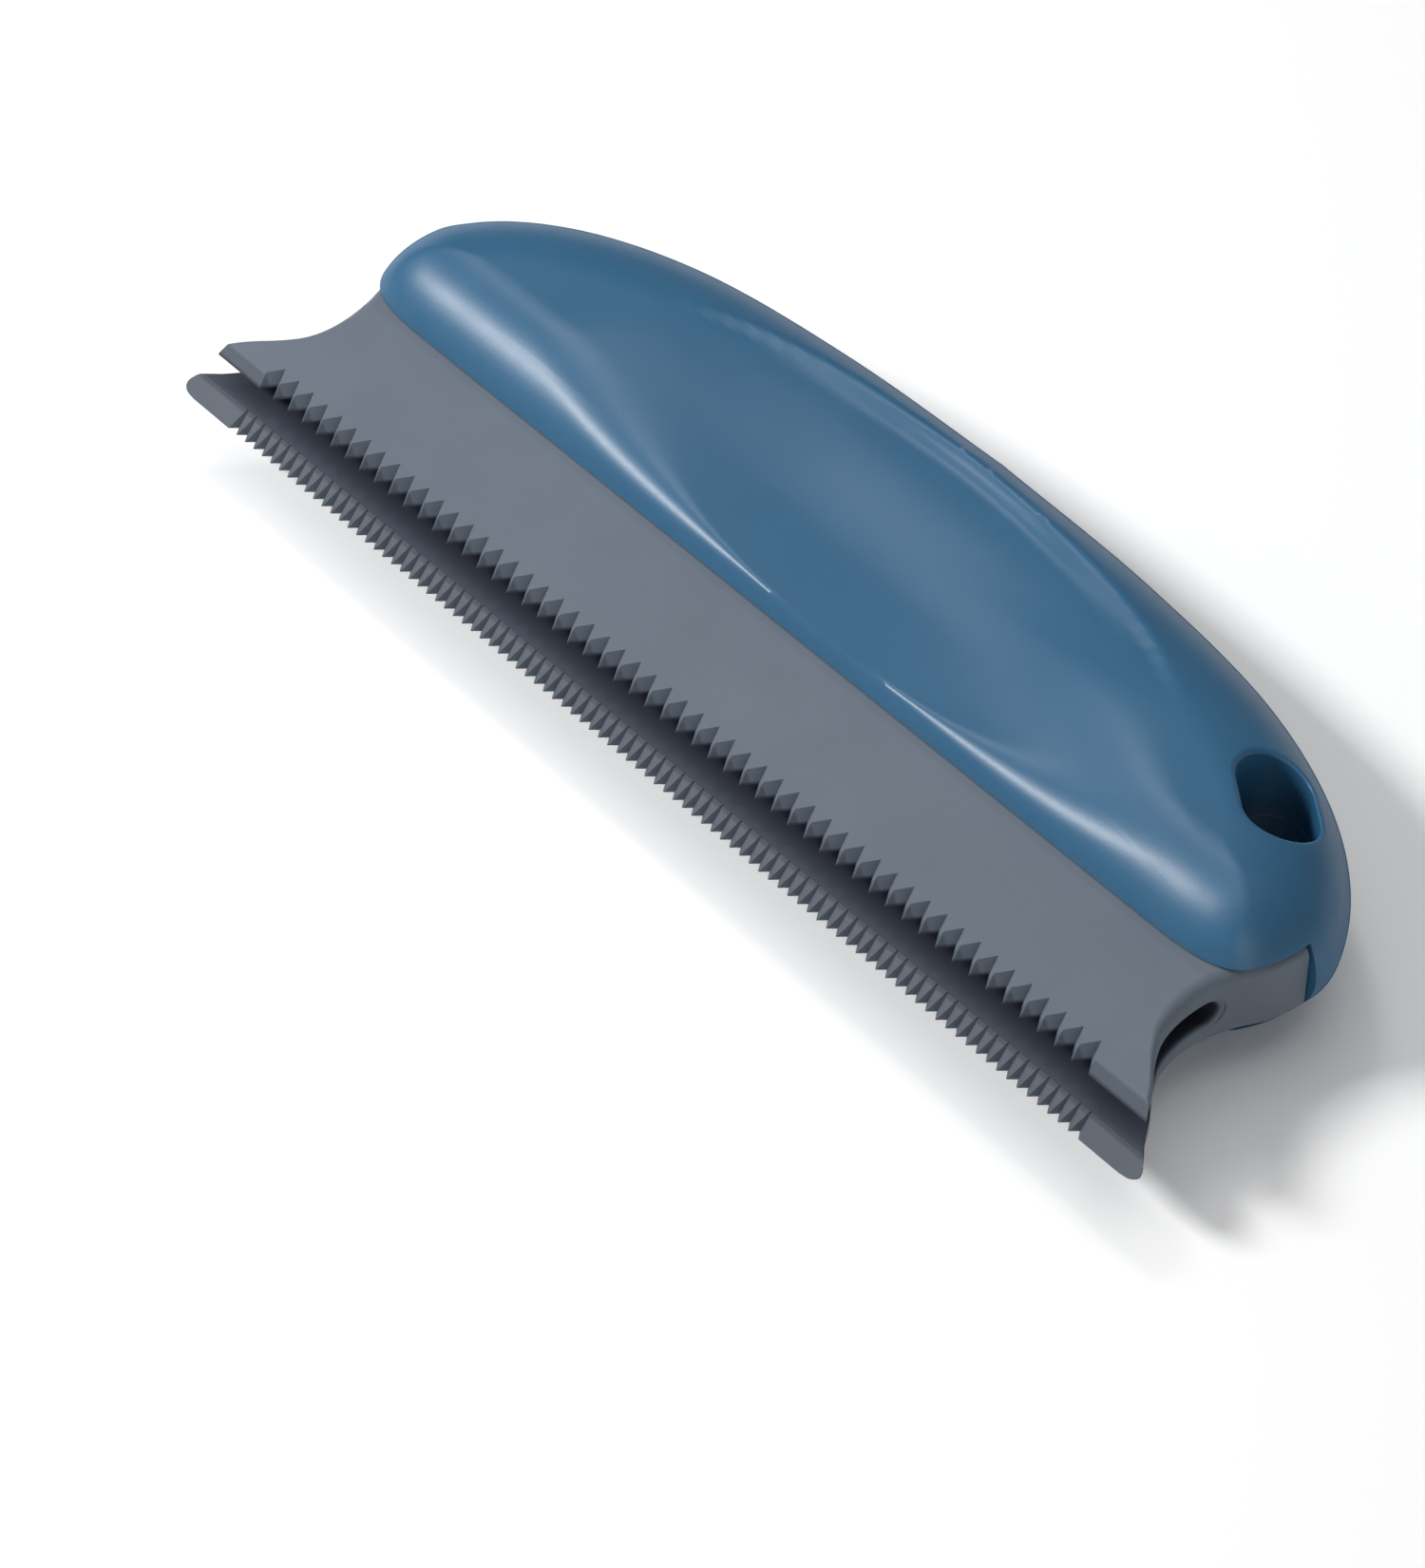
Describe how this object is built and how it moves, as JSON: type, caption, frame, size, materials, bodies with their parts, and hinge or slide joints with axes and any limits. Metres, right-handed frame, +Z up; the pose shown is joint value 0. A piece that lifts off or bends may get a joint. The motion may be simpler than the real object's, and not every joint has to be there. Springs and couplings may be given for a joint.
{
  "type": "deshedding tool",
  "caption": "Hand-held deshedding comb: long moulded handle with thumb recesses and a hang hole, and a rubber head with one coarse and one fine toothed lip.",
  "frame": {"origin": "centre of the bounding box in X and Y, on the surface the tool lies on", "axes": "the tool lies on the back of its handle; X runs along it with the hang hole at +X, Y runs from the teeth to the handle's crest, Z points up out of its front"},
  "size_m": [0.1648, 0.0608, 0.0246],
  "materials": {
    "handle": "satin",
    "head": "matte",
    "spine": "matte"
  },
  "bodies": {
    "root": {"handle_front_shell": "handle", "handle_rear_shell": "handle", "comb_head": "head", "head_spine": "spine"}
  },
  "joints": []
}
